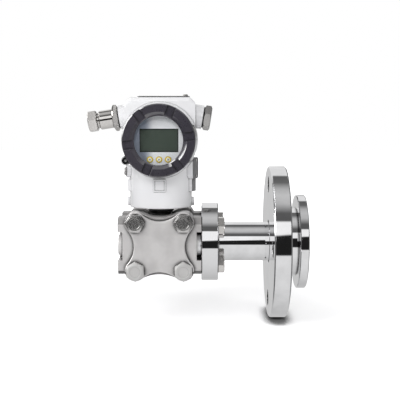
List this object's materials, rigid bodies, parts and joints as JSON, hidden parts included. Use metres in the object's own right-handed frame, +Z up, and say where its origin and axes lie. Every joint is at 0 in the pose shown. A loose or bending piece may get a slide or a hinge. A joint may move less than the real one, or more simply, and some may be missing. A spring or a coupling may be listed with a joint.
{
  "type": "differential pressure transmitter",
  "caption": "Differential pressure level transmitter with a flange-mounted diaphragm seal, winged process covers and a two-bay display housing.",
  "frame": {"origin": "centre of the seal face, on the diaphragm", "axes": "+X out of the seal face into the vessel, +Z up, display faces -Y"},
  "size_m": [0.2376, 0.165, 0.242],
  "materials": {
    "polished_steel": "polished",
    "satin_steel": "bead blasted",
    "bolt_steel": "satin",
    "white_paint": "gloss",
    "dark_paint": "satin",
    "nickel": "polished",
    "black_rubber": "matte",
    "white_seal": "matte",
    "window_glass": "clear",
    "display_silver": "satin",
    "lcd_green": "satin",
    "key_yellow": "satin",
    "board_green": "satin",
    "black_plastic": "matte",
    "black_steel": "oiled"
  },
  "bodies": {
    "process_unit": {"seal_body": "polished_steel", "seal_diaphragm": "satin_steel", "extension_tube": "polished_steel", "capillary_tube": "satin_steel", "adapter_flange": "polished_steel", "adapter_bolts": "bolt_steel", "port_seals": "white_seal", "front_process_cover": "satin_steel", "rear_process_cover": "satin_steel", "process_gaskets": "white_seal", "sensor_module": "satin_steel", "neck_ring": "black_rubber", "process_bolts": "bolt_steel", "process_nuts": "bolt_steel", "end_plugs": "bolt_steel"},
    "loose_flange": {"mounting_flange": "polished_steel"},
    "head": {"housing": "white_paint", "swivel_screws": "bolt_steel", "display_case": "black_plastic", "display_face": "display_silver", "display_board": "board_green", "lcd_module": "lcd_green", "main_board": "board_green", "standoffs": "bolt_steel", "terminal_block": "black_plastic", "terminal_screws": "bolt_steel", "adjuster_plate_screw": "polished_steel", "cover_lock_screws": "black_steel", "earth_clamp": "polished_steel", "earth_screw": "polished_steel", "tag_plate": "satin_steel", "side_plate": "satin_steel", "tag_rivets": "polished_steel", "gland_body": "nickel", "gland_ring": "black_rubber", "gland_seal": "black_rubber", "blanking_plug": "nickel", "plug_ring": "black_rubber"},
    "front_ring_carrier": {"front_cover_ring": "black_rubber"},
    "front_cap": {"front_cover": "dark_paint", "window_gasket": "black_rubber", "window_glass": "window_glass", "glass_retainer": "black_steel"},
    "rear_ring_carrier": {"rear_cover_ring": "black_rubber"},
    "rear_cap": {"rear_cover": "dark_paint"},
    "left_key": {"key_left": "key_yellow"},
    "middle_key": {"key_middle": "key_yellow"},
    "right_key": {"key_right": "key_yellow"},
    "top_plate": {"adjuster_plate": "polished_steel"},
    "zero_plunger": {"zero_button": "black_plastic"},
    "span_plunger": {"span_button": "black_plastic"},
    "slip_ring": {"gland_slip_ring": "nickel"},
    "clamp_nut": {"gland_nut": "nickel"}
  },
  "joints": [
    {"name": "flange_turn", "type": "hinge", "parent": "process_unit", "child": "loose_flange", "pos_m": [-0.0303, 0, 0], "axis": [1, 0, 0], "continuous": true},
    {"name": "head_swivel", "type": "hinge", "parent": "process_unit", "child": "head", "pos_m": [-0.1565, 0, 0.047], "axis": [0, 0, 1], "range_deg": [-180, 180]},
    {"name": "front_cap_advance", "type": "slide", "parent": "head", "child": "front_ring_carrier", "axis": [0, -1, 0], "range_m": [0, 0.008]},
    {"name": "front_cap_turn", "type": "hinge", "parent": "front_ring_carrier", "child": "front_cap", "pos_m": [-0.1565, -0.0505, 0.111], "axis": [0, -1, 0], "range_deg": [0, 1440]},
    {"name": "rear_cap_advance", "type": "slide", "parent": "head", "child": "rear_ring_carrier", "axis": [0, 1, 0], "range_m": [0, 0.008]},
    {"name": "rear_cap_turn", "type": "hinge", "parent": "rear_ring_carrier", "child": "rear_cap", "pos_m": [-0.1565, 0.0505, 0.111], "axis": [0, 1, 0], "range_deg": [0, 1440]},
    {"name": "left_key_press", "type": "slide", "parent": "head", "child": "left_key", "axis": [0, 1, 0], "range_m": [0, 0.0007], "stiffness_N_per_m": 800},
    {"name": "middle_key_press", "type": "slide", "parent": "head", "child": "middle_key", "axis": [0, 1, 0], "range_m": [0, 0.0007], "stiffness_N_per_m": 800},
    {"name": "right_key_press", "type": "slide", "parent": "head", "child": "right_key", "axis": [0, 1, 0], "range_m": [0, 0.0007], "stiffness_N_per_m": 800},
    {"name": "top_plate_swing", "type": "hinge", "parent": "head", "child": "top_plate", "pos_m": [-0.1296, -0.013, 0.1571], "axis": [0, 0, 1], "range_deg": [-100, 100]},
    {"name": "zero_button_press", "type": "slide", "parent": "head", "child": "zero_plunger", "axis": [0, 0, -1], "range_m": [0, 0.0015], "stiffness_N_per_m": 500},
    {"name": "span_button_press", "type": "slide", "parent": "head", "child": "span_plunger", "axis": [0, 0, -1], "range_m": [0, 0.0015], "stiffness_N_per_m": 500},
    {"name": "gland_nut_advance", "type": "slide", "parent": "head", "child": "slip_ring", "axis": [-0.9882, 0, -0.153], "range_m": [0, 0.004]},
    {"name": "gland_nut_turn", "type": "hinge", "parent": "slip_ring", "child": "clamp_nut", "pos_m": [-0.23115, 0.011, 0.13089], "axis": [-0.9882, 0, -0.153], "range_deg": [0, 960]}
  ],
  "couplings": [
    {"joint": "front_cap_advance", "follows": "front_cap_turn", "m_per_rad": 0.00031831},
    {"joint": "rear_cap_advance", "follows": "rear_cap_turn", "m_per_rad": 0.00031831},
    {"joint": "gland_nut_advance", "follows": "gland_nut_turn", "m_per_rad": 0.00023873}
  ]
}
